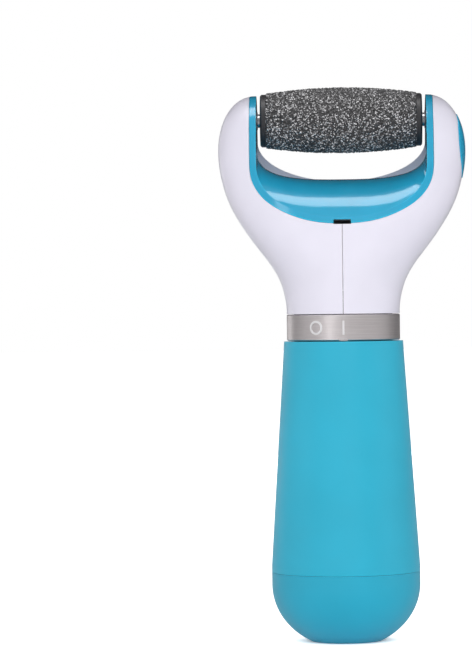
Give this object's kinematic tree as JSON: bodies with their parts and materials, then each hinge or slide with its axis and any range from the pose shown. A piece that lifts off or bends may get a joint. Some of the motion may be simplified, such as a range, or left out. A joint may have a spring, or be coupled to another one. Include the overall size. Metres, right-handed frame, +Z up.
{
  "type": "electric callus remover",
  "caption": "Battery handpiece with a motor-driven abrasive roller held in a forked head, a rotary switch ring and a twist-off battery cover.",
  "frame": {"origin": "centre of the flat base of the battery cover", "axes": "+Z up the handle to the roller, +X towards the arm with the release button, -Y towards the switch marks"},
  "size_m": [0.0761, 0.0456, 0.1702],
  "materials": {
    "shell_white": "satin white moulding",
    "liner_blue": "glossy blue moulding",
    "grip_blue": "soft-touch blue",
    "cover_blue": "soft-touch blue",
    "button_blue": "satin blue",
    "ring_metal": "satin",
    "abrasive": "coarse grit",
    "dark_plastic": "moulded",
    "core_plastic": "moulded",
    "steel": "ground",
    "bush_plastic": "self-lubricating",
    "gear_plastic": "moulded acetal",
    "frame_plastic": "moulded",
    "brass": "plain",
    "copper_core": "laminated core, lacquered windings",
    "board_green": "circuit board",
    "wire_red": "insulation",
    "wire_black": "insulation",
    "cell_sleeve": "printed sleeve, plain",
    "spring_steel": "spring wire"
  },
  "bodies": {
    "handpiece": {"head_shell_left": "shell_white", "head_shell_right": "shell_white", "fork_liner": "liner_blue", "liner_screws": "steel", "spindle_bush": "bush_plastic", "idle_pin_bush": "bush_plastic", "rocker_pivot_pin": "steel", "gear_axles": "steel", "gear_plate": "frame_plastic", "motor_can": "steel", "motor_end_bell": "dark_plastic", "motor_terminals": "brass", "motor_cradle": "frame_plastic", "motor_lead_red": "wire_red", "motor_lead_black": "wire_black", "button_springs": "spring_steel", "chassis_tube": "frame_plastic", "switch_board": "board_green", "battery_lead_red": "wire_red", "battery_lead_black": "wire_black", "handle_shell": "grip_blue", "battery_holder": "dark_plastic", "frame_screws": "steel", "aa_cells": "cell_sleeve", "upper_contacts": "brass", "upper_contact_springs": "spring_steel", "contact_carrier": "dark_plastic", "lower_contacts": "brass", "lower_contact_springs": "spring_steel"},
    "roller": {"abrasive_sleeve": "abrasive", "roller_core": "core_plastic", "drive_end_cap": "dark_plastic", "idle_end_cap": "dark_plastic"},
    "spindle": {"drive_spindle": "steel", "spindle_gear": "gear_plastic"},
    "idler": {"idler_gear": "gear_plastic"},
    "compound": {"compound_gear": "gear_plastic"},
    "rotor": {"pinion_gear": "brass", "motor_shaft": "steel", "motor_armature": "copper_core"},
    "button": {"release_button": "button_blue"},
    "rocker": {"rocker_lever": "frame_plastic"},
    "pin": {"idle_pin": "steel"},
    "ring": {"switch_ring": "ring_metal", "switch_wiper": "dark_plastic"},
    "cover": {"battery_cover": "cover_blue"}
  },
  "joints": [
    {"name": "roller_spin", "type": "hinge", "parent": "handpiece", "child": "roller", "pos_m": [0, 0, 0.16], "axis": [1, 0, 0], "continuous": true},
    {"name": "spindle_spin", "type": "hinge", "parent": "handpiece", "child": "spindle", "pos_m": [-0.029, 0, 0.16], "axis": [1, 0, 0], "continuous": true},
    {"name": "idler_spin", "type": "hinge", "parent": "handpiece", "child": "idler", "pos_m": [-0.0292, 0.00024, 0.14875], "axis": [1, 0, 0], "continuous": true},
    {"name": "compound_spin", "type": "hinge", "parent": "handpiece", "child": "compound", "pos_m": [-0.028, 0.00405, 0.1379], "axis": [1, 0, 0], "continuous": true},
    {"name": "rotor_spin", "type": "hinge", "parent": "handpiece", "child": "rotor", "pos_m": [0, 0, 0.131], "axis": [1, 0, 0], "continuous": true},
    {"name": "button_press", "type": "slide", "parent": "handpiece", "child": "button", "axis": [-1, 0, 0], "range_m": [0, 0.0015], "stiffness_N_per_m": 900, "deforming": ["button_springs"]},
    {"name": "rocker_tilt", "type": "hinge", "parent": "handpiece", "child": "rocker", "pos_m": [0.031, 0, 0.151], "axis": [0, 1, 0], "range_deg": [0, 13.3]},
    {"name": "pin_retract", "type": "slide", "parent": "handpiece", "child": "pin", "axis": [1, 0, 0], "range_m": [0, 0.0021]},
    {"name": "ring_turn", "type": "hinge", "parent": "handpiece", "child": "ring", "pos_m": [0, 0, 0.09635], "axis": [0, 0, 1], "range_deg": [0, 28.5]},
    {"name": "cover_twist", "type": "hinge", "parent": "handpiece", "child": "cover", "pos_m": [0, 0, 0.02], "axis": [0, 0, 1], "range_deg": [0, 20]}
  ],
  "couplings": [
    {"joint": "spindle_spin", "follows": "roller_spin", "ratio": 1},
    {"joint": "idler_spin", "follows": "roller_spin", "ratio": -0.40625},
    {"joint": "compound_spin", "follows": "roller_spin", "ratio": 0.92857},
    {"joint": "rotor_spin", "follows": "roller_spin", "ratio": -2.0429},
    {"joint": "rocker_tilt", "follows": "button_press", "rad_per_m": 153.85},
    {"joint": "pin_retract", "follows": "button_press", "ratio": 1.3846}
  ]
}
